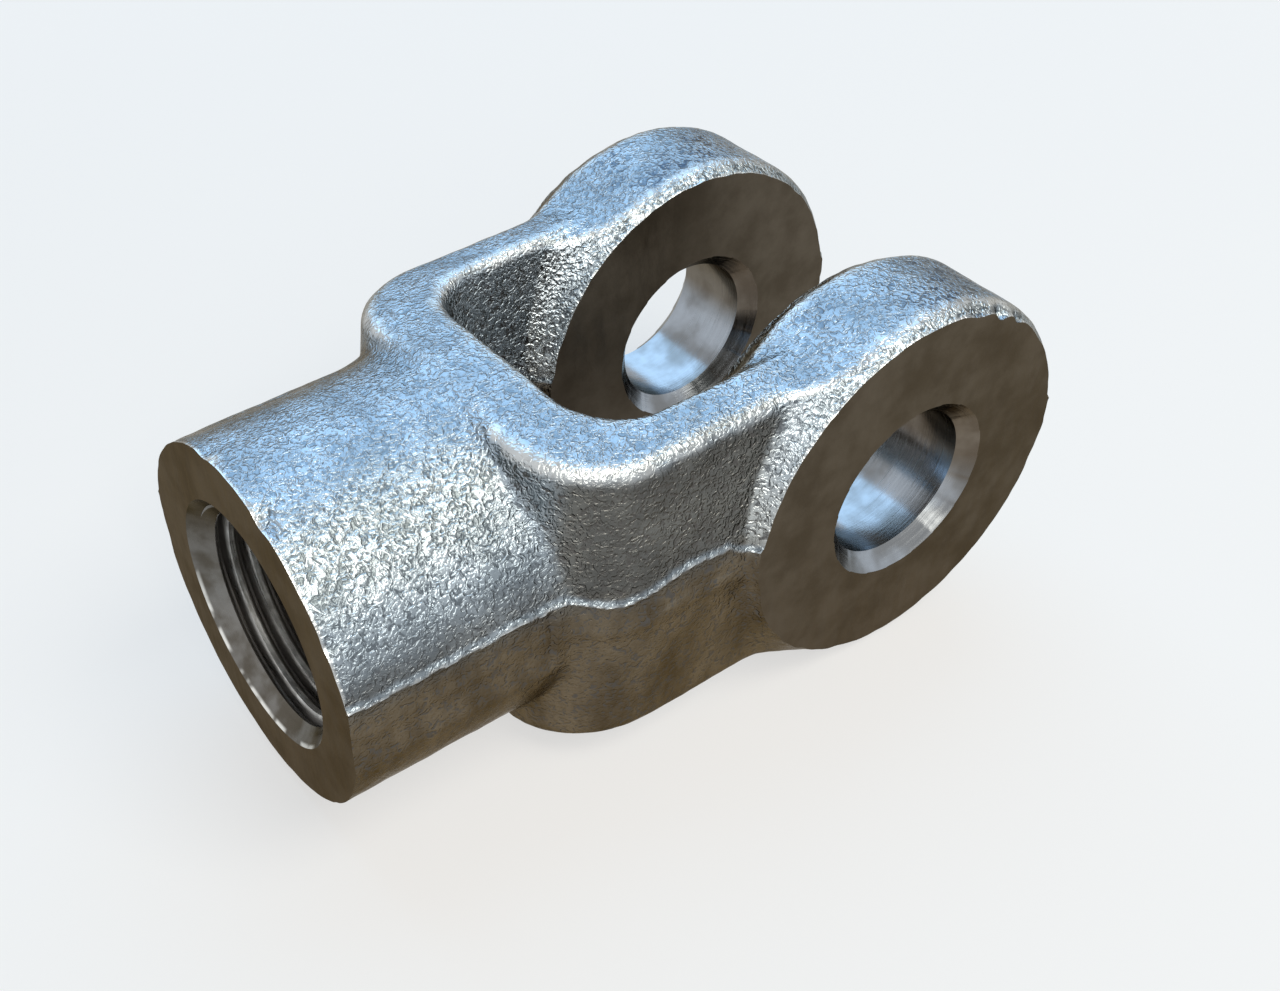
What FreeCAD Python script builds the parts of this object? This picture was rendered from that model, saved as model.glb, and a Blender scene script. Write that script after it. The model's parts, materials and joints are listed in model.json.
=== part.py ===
# Forged fork end (clevis) for a threaded tension rod, in millimetres.
#
# The origin is the centre of the pin bore. X runs along the rod axis, from the threaded barrel (-X) to the
# round ears (+X). Y is the pin axis and Z is the direction in which the forging dies close.
# The blank is forged with draft from its parting plane, Z = 0. The barrel's end face, the faces of the ears,
# the pin bore and the threaded bore are then machined.

import FreeCAD, Part
import math
import os
import Sketcher

# The setbacks are those of the arms from the ears' machined faces, at the parting plane, and the rise is that
# of the fork's top above the barrel. The drop and run are those of the flank round each face.
size = {
    "end_to_pin": 49.5,
    "barrel_diameter": 30.0,
    "thread_minor_diameter": 17.4,
    "thread_mouth_diameter": 20.65,
    "fork_back_to_pin": 34.2,
    "fork_rise": 0.2,
    "crown_radius": 75.0,
    "draft_angle": 7.0,
    "fork_corner_radius": 13.2,
    "fork_edge_radius": 1.5,
    "neck_radius": 4.0,
    "crotch_to_pin": 24.3,
    "crotch_corner": 4.0,
    "crotch_edge_radius": 1.2,
    "jaw_gap": 16.8,
    "ear_thickness": 9.9,
    "outer_setback": 0.7,
    "inner_setback": 1.3,
    "ear_diameter": 32.6,
    "ear_face_diameter": 31.2,
    "flank_drop": 3.0,
    "flank_run": 5.0,
    "web_height": 27.0,
    "web_radius": 16.0,
    "pin_hole_diameter": 13.1,
    "pin_hole_chamfer": 1.3,
}

# Where an ear's outer face lies, and the half sizes of the fork and its crotch at the parting plane, each in
# millimetres and as an expression of the cells.
OUTER_FACE = size["jaw_gap"] / 2 + size["ear_thickness"]
OUTER_FACE_CELLS = "(sizes.jaw_gap / 2 + sizes.ear_thickness)"
FORK_HALF_WIDTH = OUTER_FACE - size["outer_setback"]
FORK_HALF_WIDTH_CELLS = "(%s - sizes.outer_setback)" % OUTER_FACE_CELLS
FORK_HALF_HEIGHT = size["barrel_diameter"] / 2 + size["fork_rise"]
FORK_HALF_HEIGHT_CELLS = "(sizes.barrel_diameter / 2 + sizes.fork_rise)"
CROTCH_HALF_WIDTH = size["jaw_gap"] / 2 + size["inner_setback"]
CROTCH_HALF_WIDTH_CELLS = "(sizes.jaw_gap / 2 + sizes.inner_setback)"
FLANK_REACH = size["ear_face_diameter"] / 2 + size["flank_run"]
FLANK_REACH_CELLS = "(sizes.ear_face_diameter / 2 + sizes.flank_run)"

# How far the outlines that only cut run past the solid, and the least that a cut has to take.
TRIM_MARGIN = 5.0
LEAST_CUT = 1.0

# A sketch's own origin, its axes, and the ends and centre of its lines and arcs.
ORIGIN_POINT = (-1, 1)
X_AXIS, Y_AXIS = -1, -2
START, END, CENTRE = 1, 2, 3

# Two points closer than this count as one.
NEAR = 1e-4

doc = FreeCAD.newDocument("tension_rod_clevis")


def vector(x, y):
    return FreeCAD.Vector(x, y, 0)


def make_sheet():
    """Driving dimensions, one named cell each."""
    sheet = doc.addObject("Spreadsheet::Sheet", "sizes")
    for row, (name, value) in enumerate(size.items(), start=1):
        sheet.set("A%d" % row, name)
        sheet.set("B%d" % row, str(value))
        sheet.setAlias("B%d" % row, name)
    doc.recompute()


def new_body(name):
    body = doc.addObject("PartDesign::Body", name)
    body.Label = name
    return body


def new_sketch(body, name, plane):
    """A sketch on one of the body's own origin planes."""
    sketch = body.newObject("Sketcher::SketchObject", name)
    support = [f for f in body.Origin.OriginFeatures if f.Role == plane][0]
    sketch.AttachmentSupport = [(support, "")]
    sketch.MapMode = "FlatFace"
    return sketch


def drive(sketch, name, constraint, expression):
    """Adds a dimension and binds it to the sheet."""
    index = sketch.addConstraint(constraint)
    sketch.renameConstraint(index, name)
    sketch.setExpression("Constraints." + name, expression)


def join(sketch, first, first_end, second, second_end):
    sketch.addConstraint(Sketcher.Constraint("Coincident", first, first_end, second, second_end))


def tangent(sketch, first, first_end, second, second_end):
    sketch.addConstraint(Sketcher.Constraint("Tangent", first, first_end, second, second_end))


def along(sketch, kind, *lines):
    for line in lines:
        sketch.addConstraint(Sketcher.Constraint(kind, line))


def arc(centre, radius, start_deg, end_deg):
    circle = Part.Circle(vector(*centre), FreeCAD.Vector(0, 0, 1), radius)
    return Part.ArcOfCircle(circle, math.radians(start_deg), math.radians(end_deg))


def line(start, end):
    return Part.LineSegment(vector(*start), vector(*end))


def edges_where(feature, test):
    """Names of the feature's edges whose middle point passes the test."""
    names = []
    for number, edge in enumerate(feature.Shape.Edges, start=1):
        middle = edge.valueAt(0.5 * (edge.FirstParameter + edge.LastParameter))
        if test(edge, middle):
            names.append("Edge%d" % number)
    return names


def round_edges(body, base, name, radius, test):
    doc.recompute()
    fillet = body.newObject("PartDesign::Fillet", name)
    fillet.Base = (base, edges_where(base, test))
    fillet.setExpression("Radius", radius)
    doc.recompute()
    return fillet


def bevel_edges(body, base, name, depth, test):
    doc.recompute()
    bevel = body.newObject("PartDesign::Chamfer", name)
    bevel.Base = (base, edges_where(base, test))
    bevel.setExpression("Size", depth)
    doc.recompute()
    return bevel


def check_cut(feature):
    """Stops where a cut missed the solid that it was made for."""
    doc.recompute()
    taken = feature.BaseFeature.Shape.Volume - feature.Shape.Volume
    if taken < LEAST_CUT:
        raise RuntimeError("%s took only %.3f mm3" % (feature.Name, taken))


def fork_plan(body):
    """Outline of the fork at the parting plane: a round back, and straight sides that end inside the ears."""
    corner = size["fork_corner_radius"]
    half_width = FORK_HALF_WIDTH
    back = -size["fork_back_to_pin"]
    sketch = new_sketch(body, "fork_plan", "XY_Plane")
    far_side, far_corner, heel, near_corner, near_side, front = sketch.addGeometry([
        line((0, half_width), (back + corner, half_width)),
        arc((back + corner, half_width - corner), corner, 90, 180),
        line((back, half_width - corner), (back, corner - half_width)),
        arc((back + corner, corner - half_width), corner, 180, 270),
        line((back + corner, -half_width), (0, -half_width)),
        line((0, -half_width), (0, half_width)),
    ])
    tangent(sketch, far_side, END, far_corner, START)
    tangent(sketch, far_corner, END, heel, START)
    tangent(sketch, heel, END, near_corner, START)
    tangent(sketch, near_corner, END, near_side, START)
    join(sketch, near_side, END, front, START)
    join(sketch, front, END, far_side, START)
    along(sketch, "Horizontal", far_side, near_side)
    sketch.addConstraint(Sketcher.Constraint("PointOnObject", front, START, Y_AXIS))
    sketch.addConstraint(Sketcher.Constraint("PointOnObject", front, END, Y_AXIS))
    sketch.addConstraint(Sketcher.Constraint("Equal", far_corner, near_corner))
    drive(sketch, "corner", Sketcher.Constraint("Radius", far_corner, corner), "sizes.fork_corner_radius")
    drive(sketch, "back", Sketcher.Constraint("DistanceX", heel, START, *ORIGIN_POINT, -back),
          "sizes.fork_back_to_pin")
    drive(sketch, "far_half", Sketcher.Constraint("DistanceY", *ORIGIN_POINT, far_side, START, half_width),
          FORK_HALF_WIDTH_CELLS)
    drive(sketch, "near_half", Sketcher.Constraint("DistanceY", near_side, END, *ORIGIN_POINT, half_width),
          FORK_HALF_WIDTH_CELLS)
    return sketch


def crown_outline(body):
    """Everything above the crowned top of the fork, seen along the rod."""
    crown = size["crown_radius"]
    half_width = FORK_HALF_WIDTH + TRIM_MARGIN
    half_width_cells = "%s + %s" % (FORK_HALF_WIDTH_CELLS, TRIM_MARGIN)
    lid_z = FORK_HALF_HEIGHT + size["fork_edge_radius"] + TRIM_MARGIN
    crown_z = FORK_HALF_HEIGHT - crown
    swing = math.degrees(math.asin(half_width / crown))
    shoulder_z = crown_z + math.sqrt(crown ** 2 - half_width ** 2)
    sketch = new_sketch(body, "crown_outline", "YZ_Plane")
    edge, far_wall, lid, near_wall = sketch.addGeometry([
        arc((0, crown_z), crown, 90 - swing, 90 + swing),
        line((half_width, shoulder_z), (half_width, lid_z)),
        line((half_width, lid_z), (-half_width, lid_z)),
        line((-half_width, lid_z), (-half_width, shoulder_z)),
    ])
    join(sketch, edge, START, far_wall, START)
    join(sketch, far_wall, END, lid, START)
    join(sketch, lid, END, near_wall, START)
    join(sketch, near_wall, END, edge, END)
    along(sketch, "Vertical", far_wall, near_wall)
    along(sketch, "Horizontal", lid)
    sketch.addConstraint(Sketcher.Constraint("PointOnObject", edge, CENTRE, Y_AXIS))
    drive(sketch, "crown", Sketcher.Constraint("Radius", edge, crown), "sizes.crown_radius")
    drive(sketch, "centre", Sketcher.Constraint("DistanceY", edge, CENTRE, *ORIGIN_POINT, -crown_z),
          "sizes.crown_radius - " + FORK_HALF_HEIGHT_CELLS)
    drive(sketch, "lid", Sketcher.Constraint("DistanceY", *ORIGIN_POINT, lid, START, lid_z),
          "%s + sizes.fork_edge_radius + %s" % (FORK_HALF_HEIGHT_CELLS, TRIM_MARGIN))
    drive(sketch, "far_half", Sketcher.Constraint("DistanceX", *ORIGIN_POINT, lid, START, half_width),
          half_width_cells)
    drive(sketch, "near_half", Sketcher.Constraint("DistanceX", lid, END, *ORIGIN_POINT, half_width),
          half_width_cells)
    return sketch


def barrel_section(body):
    """Upper half of the barrel's round section."""
    radius = size["barrel_diameter"] / 2
    sketch = new_sketch(body, "barrel_section", "YZ_Plane")
    sketch.setExpression(".AttachmentOffset.Base.z", "-sizes.end_to_pin")
    half_round, flat = sketch.addGeometry([
        arc((0, 0), radius, 0, 180),
        line((-radius, 0), (radius, 0)),
    ])
    join(sketch, half_round, END, flat, START)
    join(sketch, flat, END, half_round, START)
    join(sketch, half_round, CENTRE, *ORIGIN_POINT)
    along(sketch, "Horizontal", flat)
    drive(sketch, "radius", Sketcher.Constraint("Radius", half_round, radius), "sizes.barrel_diameter / 2")
    return sketch


def crotch_plan(body):
    """U between the arms at the parting plane, open towards the ears."""
    corner = size["crotch_corner"]
    half_width = CROTCH_HALF_WIDTH
    floor = -size["crotch_to_pin"]
    mouth = size["ear_diameter"] / 2
    sketch = new_sketch(body, "crotch_plan", "XY_Plane")
    far_wall, far_corner, bottom, near_corner, near_wall, opening = sketch.addGeometry([
        line((mouth, half_width), (floor + corner, half_width)),
        arc((floor + corner, half_width - corner), corner, 90, 180),
        line((floor, half_width - corner), (floor, corner - half_width)),
        arc((floor + corner, corner - half_width), corner, 180, 270),
        line((floor + corner, -half_width), (mouth, -half_width)),
        line((mouth, -half_width), (mouth, half_width)),
    ])
    tangent(sketch, far_wall, END, far_corner, START)
    tangent(sketch, far_corner, END, bottom, START)
    tangent(sketch, bottom, END, near_corner, START)
    tangent(sketch, near_corner, END, near_wall, START)
    join(sketch, near_wall, END, opening, START)
    join(sketch, opening, END, far_wall, START)
    along(sketch, "Horizontal", far_wall, near_wall)
    along(sketch, "Vertical", opening)
    sketch.addConstraint(Sketcher.Constraint("Equal", far_corner, near_corner))
    drive(sketch, "corner", Sketcher.Constraint("Radius", far_corner, corner), "sizes.crotch_corner")
    drive(sketch, "floor", Sketcher.Constraint("DistanceX", bottom, START, *ORIGIN_POINT, -floor),
          "sizes.crotch_to_pin")
    drive(sketch, "mouth", Sketcher.Constraint("DistanceX", *ORIGIN_POINT, opening, START, mouth),
          "sizes.ear_diameter / 2")
    drive(sketch, "far_half", Sketcher.Constraint("DistanceY", *ORIGIN_POINT, far_wall, START, half_width),
          CROTCH_HALF_WIDTH_CELLS)
    drive(sketch, "near_half", Sketcher.Constraint("DistanceY", near_wall, END, *ORIGIN_POINT, half_width),
          CROTCH_HALF_WIDTH_CELLS)
    return sketch


def ear_profile(body):
    """Half section of one ear: two machined faces, each with a hollow flank that falls away round it."""
    inner = size["jaw_gap"] / 2
    outer = OUTER_FACE
    face = size["ear_face_diameter"] / 2
    drop = size["flank_drop"]
    run = size["flank_run"]
    hollow = (drop ** 2 + run ** 2) / (2 * drop)
    sweep = math.degrees(math.atan2(run, hollow - drop))
    sketch = new_sketch(body, "ear_profile", "XY_Plane")
    inner_face, rim, outer_face, axis = sketch.addGeometry([
        line((0, inner), (face, inner)),
        line((face + run, inner + drop), (face + run, outer - drop)),
        line((face, outer), (0, outer)),
        line((0, outer), (0, inner)),
    ])
    inner_flank, outer_flank = sketch.addGeometry([
        arc((face + run, inner + drop - hollow), hollow, 90, 90 + sweep),
        arc((face + run, outer - drop + hollow), hollow, 270 - sweep, 270),
    ])
    join(sketch, inner_face, END, inner_flank, END)
    join(sketch, inner_flank, START, rim, START)
    join(sketch, rim, END, outer_flank, END)
    join(sketch, outer_flank, START, outer_face, START)
    join(sketch, outer_face, END, axis, START)
    join(sketch, axis, END, inner_face, START)
    along(sketch, "Horizontal", inner_face, outer_face)
    along(sketch, "Vertical", rim)
    for point in ((axis, START), (axis, END)):
        sketch.addConstraint(Sketcher.Constraint("PointOnObject", *point, Y_AXIS))
    sketch.addConstraint(Sketcher.Constraint("Vertical", inner_flank, CENTRE, inner_flank, START))
    sketch.addConstraint(Sketcher.Constraint("Vertical", outer_flank, CENTRE, outer_flank, END))
    drive(sketch, "gap_half", Sketcher.Constraint("DistanceY", *ORIGIN_POINT, axis, END, inner),
          "sizes.jaw_gap / 2")
    drive(sketch, "width_half", Sketcher.Constraint("DistanceY", *ORIGIN_POINT, axis, START, outer),
          OUTER_FACE_CELLS)
    drive(sketch, "inner_face", Sketcher.Constraint("DistanceX", *ORIGIN_POINT, inner_face, END, face),
          "sizes.ear_face_diameter / 2")
    drive(sketch, "outer_face", Sketcher.Constraint("DistanceX", *ORIGIN_POINT, outer_face, START, face),
          "sizes.ear_face_diameter / 2")
    drive(sketch, "flank_run", Sketcher.Constraint("DistanceX", inner_face, END, rim, START, run),
          "sizes.flank_run")
    drive(sketch, "inner_drop", Sketcher.Constraint("DistanceY", inner_face, END, rim, START, drop),
          "sizes.flank_drop")
    drive(sketch, "outer_drop", Sketcher.Constraint("DistanceY", rim, END, outer_face, START, drop),
          "sizes.flank_drop")
    return sketch


def side_outline(body):
    """Everything outside the fork's side view: flat arms, a concave web and the round end of the ears."""
    rim = size["ear_diameter"] / 2
    web = size["web_radius"]
    half_height = size["web_height"] / 2
    reach = FLANK_REACH + TRIM_MARGIN
    frame_reach = reach + TRIM_MARGIN
    web_x = -math.sqrt((rim + web) ** 2 - (half_height + web) ** 2)
    web_z = half_height + web
    turn = math.degrees(math.atan2(web_z, -web_x))
    sketch = new_sketch(body, "side_outline", "XZ_Plane")
    ear, top_web, bottom_web, top, bottom, back = sketch.addGeometry([
        arc((0, 0), rim, turn - 180, 180 - turn),
        arc((web_x, web_z), web, 270, 360 - turn),
        arc((web_x, -web_z), web, turn, 90),
        line((-reach, half_height), (web_x, half_height)),
        line((-reach, -half_height), (web_x, -half_height)),
        line((-reach, half_height), (-reach, -half_height)),
    ])
    frame = sketch.addGeometry([
        line((-frame_reach, frame_reach), (frame_reach, frame_reach)),
        line((frame_reach, frame_reach), (frame_reach, -frame_reach)),
        line((frame_reach, -frame_reach), (-frame_reach, -frame_reach)),
        line((-frame_reach, -frame_reach), (-frame_reach, frame_reach)),
    ])
    tangent(sketch, top_web, END, ear, END)
    tangent(sketch, bottom_web, START, ear, START)
    tangent(sketch, top, END, top_web, START)
    tangent(sketch, bottom, END, bottom_web, END)
    join(sketch, top, START, back, START)
    join(sketch, bottom, START, back, END)
    along(sketch, "Horizontal", top, bottom, frame[0], frame[2])
    along(sketch, "Vertical", back, frame[1], frame[3])
    for first, second in zip(frame, frame[1:] + frame[:1]):
        join(sketch, first, END, second, START)
    join(sketch, ear, CENTRE, *ORIGIN_POINT)
    sketch.addConstraint(Sketcher.Constraint("Equal", top_web, bottom_web))
    drive(sketch, "rim", Sketcher.Constraint("Radius", ear, rim), "sizes.ear_diameter / 2")
    drive(sketch, "web", Sketcher.Constraint("Radius", top_web, web), "sizes.web_radius")
    drive(sketch, "top_half", Sketcher.Constraint("DistanceY", *ORIGIN_POINT, back, START, half_height),
          "sizes.web_height / 2")
    drive(sketch, "bottom_half", Sketcher.Constraint("DistanceY", back, END, *ORIGIN_POINT, half_height),
          "sizes.web_height / 2")
    drive(sketch, "back_reach", Sketcher.Constraint("DistanceX", back, START, *ORIGIN_POINT, reach),
          "%s + %s" % (FLANK_REACH_CELLS, TRIM_MARGIN))
    frame_cells = "%s + 2 * %s" % (FLANK_REACH_CELLS, TRIM_MARGIN)
    for name, kind, low, high in (
            ("frame_back", "DistanceX", (frame[3], START), ORIGIN_POINT),
            ("frame_front", "DistanceX", ORIGIN_POINT, (frame[1], START)),
            ("frame_top", "DistanceY", ORIGIN_POINT, (frame[0], START)),
            ("frame_bottom", "DistanceY", (frame[2], START), ORIGIN_POINT)):
        drive(sketch, name, Sketcher.Constraint(kind, *low, *high, frame_reach), frame_cells)
    return sketch


def circle_sketch(body, name, plane, diameter_cell, place="0"):
    """A circle round the plane's axis, as wide as the named cell says, at a place along that axis."""
    sketch = new_sketch(body, name, plane)
    sketch.setExpression(".AttachmentOffset.Base.z", place)
    radius = size[diameter_cell] / 2
    circle = sketch.addGeometry(Part.Circle(vector(0, 0), FreeCAD.Vector(0, 0, 1), radius))
    join(sketch, circle, CENTRE, *ORIGIN_POINT)
    drive(sketch, "diameter", Sketcher.Constraint("Diameter", circle, 2 * radius), "sizes." + diameter_cell)
    return sketch


def on_circle(edge, diameter):
    curve = edge.Curve
    return isinstance(curve, Part.Circle) and abs(2 * curve.Radius - diameter) < NEAR


def forge_fork(body):
    """Upper half of the fork, drafted and crowned, with the barrel run into its back."""
    block = body.newObject("PartDesign::Pad", "fork_block")
    block.Profile = fork_plan(body)
    block.setExpression("Length", FORK_HALF_HEIGHT_CELLS + " + sizes.fork_edge_radius")
    block.setExpression("TaperAngle", "-sizes.draft_angle")
    doc.recompute()
    crown = body.newObject("PartDesign::Pocket", "crown")
    crown.Profile = crown_outline(body)
    crown.Type = "ThroughAll"
    crown.SideType = "Symmetric"
    check_cut(crown)
    lowest = FORK_HALF_HEIGHT - FORK_HALF_WIDTH ** 2 / size["crown_radius"]

    def is_ridge(edge, middle):
        ends = [vertex.Point for vertex in edge.Vertexes]
        return all(end.z > lowest for end in ends) and min(end.x for end in ends) < -size["crotch_corner"]

    round_edges(body, crown, "fork_edges", "sizes.fork_edge_radius", is_ridge)
    barrel = body.newObject("PartDesign::Pad", "barrel")
    barrel.Profile = barrel_section(body)
    barrel.setExpression("Length", "sizes.end_to_pin - sizes.crotch_to_pin")
    barrel_radius = size["barrel_diameter"] / 2

    def is_neck(edge, middle):
        points = [vertex.Point for vertex in edge.Vertexes] + [middle]
        on_barrel = all(abs(math.hypot(point.y, point.z) - barrel_radius) < NEAR for point in points)
        return on_barrel and -size["fork_back_to_pin"] < middle.x and middle.z > NEAR

    round_edges(body, barrel, "neck", "sizes.neck_radius", is_neck)


def forge_ears(body):
    """Both ears, with their flanks and the web that carries them on the arms."""
    ear = body.newObject("PartDesign::Revolution", "ear")
    ear.Profile = ear_profile(body)
    ear.ReferenceAxis = (ear.Profile[0], ["V_Axis"])
    ear.Angle = 360
    both = body.newObject("PartDesign::Mirrored", "ear_pair")
    both.Originals = [ear]
    both.MirrorPlane = ([f for f in body.Origin.OriginFeatures if f.Role == "XZ_Plane"][0], [""])
    body.Tip = both
    doc.recompute()
    trim = body.newObject("PartDesign::Pocket", "side_view_trim")
    trim.Profile = side_outline(body)
    trim.Type = "ThroughAll"
    trim.SideType = "Symmetric"
    body.Tip = trim
    check_cut(trim)


def cut_crotch(body):
    """Drafted U between the arms, with its lip rounded."""
    crotch = body.newObject("PartDesign::Pocket", "crotch")
    crotch.Profile = crotch_plan(body)
    crotch.Reversed = True
    crotch.setExpression("Length", FORK_HALF_HEIGHT_CELLS + " + sizes.crotch_edge_radius")
    crotch.setExpression("TaperAngle", "sizes.draft_angle")
    check_cut(crotch)
    widening = FORK_HALF_HEIGHT * math.tan(math.radians(size["draft_angle"]))
    reach = CROTCH_HALF_WIDTH + widening
    back = -size["crotch_to_pin"] - widening

    def is_lip(edge, middle):
        points = [vertex.Point for vertex in edge.Vertexes] + [middle]
        inside = all(abs(point.y) < reach and point.x > back for point in points)
        high = all(point.z > FORK_HALF_HEIGHT / 2 for point in points)
        return inside and high and middle.x < -NEAR

    round_edges(body, crotch, "crotch_lip", "sizes.crotch_edge_radius", is_lip)


def mirror_half(body):
    """Both dies have the same form, so the lower half mirrors the upper one at the parting plane."""
    whole = body.newObject("PartDesign::Mirrored", "both_halves")
    whole.TransformMode = "Whole shape"
    whole.MirrorPlane = ([f for f in body.Origin.OriginFeatures if f.Role == "XY_Plane"][0], [""])
    body.Tip = whole
    doc.recompute()


def add_ears(body, ear_body):
    """The ears and arms are one forging."""
    forging = body.newObject("PartDesign::Boolean", "forging")
    forging.Type = "Fuse"
    forging.Group = [ear_body]
    doc.recompute()


def bore_barrel(body):
    """Bore for the rod's thread, from the end face through to the crotch, countersunk at its mouth."""
    bore = body.newObject("PartDesign::Pocket", "rod_bore")
    bore.Profile = circle_sketch(body, "rod_bore_circle", "YZ_Plane", "thread_minor_diameter",
                                 "-sizes.end_to_pin")
    bore.setExpression("Length", "sizes.end_to_pin - sizes.crotch_to_pin + sizes.crotch_corner")
    bore.Reversed = True
    check_cut(bore)

    def is_mouth(edge, middle):
        return on_circle(edge, size["thread_minor_diameter"]) and abs(middle.x + size["end_to_pin"]) < NEAR

    bevel_edges(body, bore, "rod_bore_mouth",
                "(sizes.thread_mouth_diameter - sizes.thread_minor_diameter) / 2", is_mouth)


def bore_ears(body):
    """One bore for the pin through both ears, bevelled at its four rims."""
    bore = body.newObject("PartDesign::Pocket", "pin_bore")
    bore.Profile = circle_sketch(body, "pin_bore_circle", "XZ_Plane", "pin_hole_diameter")
    bore.Type = "ThroughAll"
    bore.SideType = "Symmetric"
    check_cut(bore)

    def is_rim(edge, middle):
        return on_circle(edge, size["pin_hole_diameter"])

    bevel_edges(body, bore, "pin_bore_rims", "sizes.pin_hole_chamfer", is_rim)


def check_document():
    """Stops where any object failed, or where a feature has no sound shape."""
    for item in doc.Objects:
        if "Invalid" in item.State or "Error" in item.State:
            raise RuntimeError("%s failed: %s" % (item.Name, item.getStatusString()))
        if item.TypeId.startswith("PartDesign::") and (item.Shape.isNull() or not item.Shape.isValid()):
            raise RuntimeError("%s has no valid shape" % item.Name)


def export(body):
    """Writes the finished piece under its own label."""
    if len(body.Shape.Solids) != 1:
        raise RuntimeError("%s should be one solid" % body.Label)
    os.makedirs("parts", exist_ok=True)
    body.Shape.exportStep("parts/%s.step" % body.Label)
    print(body.Label, round(body.Shape.Volume, 1), "mm3")


make_sheet()

ears = new_body("ears")
forge_ears(ears)

clevis = new_body("clevis")
forge_fork(clevis)
cut_crotch(clevis)
mirror_half(clevis)
add_ears(clevis, ears)
bore_barrel(clevis)
bore_ears(clevis)

doc.recompute()
check_document()
export(clevis)
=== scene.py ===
# The tension rod clevis as it looks: a shot-blasted forging whose end, ear faces, pin bore and rod thread are
# machined. It is made the way the real one is: a rough blank is forged, and then cutters take its machined
# faces.
import json
import math

import bmesh
import bpy
import numpy as np
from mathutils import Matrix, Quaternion, Vector, noise


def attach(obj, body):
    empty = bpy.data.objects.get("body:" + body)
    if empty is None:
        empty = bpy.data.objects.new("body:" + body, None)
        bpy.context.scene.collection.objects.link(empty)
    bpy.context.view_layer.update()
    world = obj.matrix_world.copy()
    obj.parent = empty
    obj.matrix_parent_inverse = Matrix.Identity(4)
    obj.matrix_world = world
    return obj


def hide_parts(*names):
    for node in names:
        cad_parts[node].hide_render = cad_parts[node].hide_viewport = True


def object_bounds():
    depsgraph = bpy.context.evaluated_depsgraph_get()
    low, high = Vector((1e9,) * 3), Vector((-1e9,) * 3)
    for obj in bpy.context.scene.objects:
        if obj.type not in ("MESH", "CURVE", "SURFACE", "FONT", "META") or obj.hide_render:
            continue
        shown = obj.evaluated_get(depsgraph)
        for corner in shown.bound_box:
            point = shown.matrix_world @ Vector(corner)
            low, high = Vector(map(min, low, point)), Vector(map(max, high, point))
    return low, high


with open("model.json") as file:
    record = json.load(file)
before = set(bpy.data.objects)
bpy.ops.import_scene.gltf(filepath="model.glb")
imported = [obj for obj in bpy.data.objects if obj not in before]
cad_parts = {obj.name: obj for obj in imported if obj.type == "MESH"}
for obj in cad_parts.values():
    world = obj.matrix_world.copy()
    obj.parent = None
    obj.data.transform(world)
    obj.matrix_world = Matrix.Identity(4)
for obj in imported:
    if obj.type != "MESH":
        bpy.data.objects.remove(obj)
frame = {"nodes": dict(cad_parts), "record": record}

bpy.context.view_layer.update()
CAD_LOW, CAD_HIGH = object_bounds()

# The work below is in millimetres, and its result is brought to metres at the end.
MM = 0.001
MOUNTS = {mount["name"]: mount for mount in frame["record"]["mounts"]}
END_X = CAD_LOW.x / MM
EAR_Y = CAD_HIGH.y / MM
JAW_Y = MOUNTS["jaw_face_far"]["pos_m"][1] / MM
PIN_RADIUS = MOUNTS["pin_bore"]["dims"]["r_mm"]
THREAD_MINOR = MOUNTS["rod_thread"]["dims"]["r_mm"]

# The other machined shapes, and the crotch's wall with how far its rounding reaches along X.
PIN_BEVEL = 1.3
THREAD_MAJOR = 9.525
THREAD_PITCH = 1.5875
MOUTH_RADIUS = 10.325
EAR_FACE_RADIUS = 15.6
CROTCH_X = -24.3
CROTCH_REACH = 3.0

# The fork's shoulders beside the barrel: its back, sides and crowned top, and their drafted, rounded corners.
# The band that makes them sinks just under the crown at its inner edge, and ends in the roots of the ears.
FORK_BACK = -34.2
FORK_SIDE = EAR_Y - 0.7
FORK_TOP = 15.2
CROWN_RADIUS = 75.0
DRAFT = math.tan(math.radians(7))
SHOULDER_RADIUS = 10.2
SHOULDER_EDGE = 1.0
SHOULDER_DEPTH = 2.6
SHOULDER_SINK = 0.03
SHOULDER_END = -20.0
SHOULDER_STEPS = 24
EDGE_STEPS = 6

# Machining allowance that the blank carries on each face that is cut. An ear's face shrinks as it grows out,
# by the slope of the skin round it. A point lies on a face if it is this near, and points closer than the
# weld distance are one.
ALLOWANCE = 1.0
FLANK_SLOPE = 0.53
NEAR = 0.02
WELD = 0.001

# How finely the blank is remeshed, and how much it is then smoothed. The neck's hollow is filled over more
# turns, between two places along X. The barrel is trimmed beside the flash line, up to the neck.
VOXEL = 0.38
SMOOTH_SHARE = 0.5
SMOOTH_TURNS = 3
NECK = (-39.0, -32.8)
NECK_TURNS = 40
BARREL_TRIM = 14.62
TRIM_END = -32.2
TRIM_HEIGHT = 5.0

# The forging's own unevenness: slow lumps and finer ones, how deep they go, and how wide they are.
LUMP_DEPTH = 0.07
LUMP_SIZE = 4.0
PEEN_DEPTH = 0.035
PEEN_SIZE = 1.2

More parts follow.
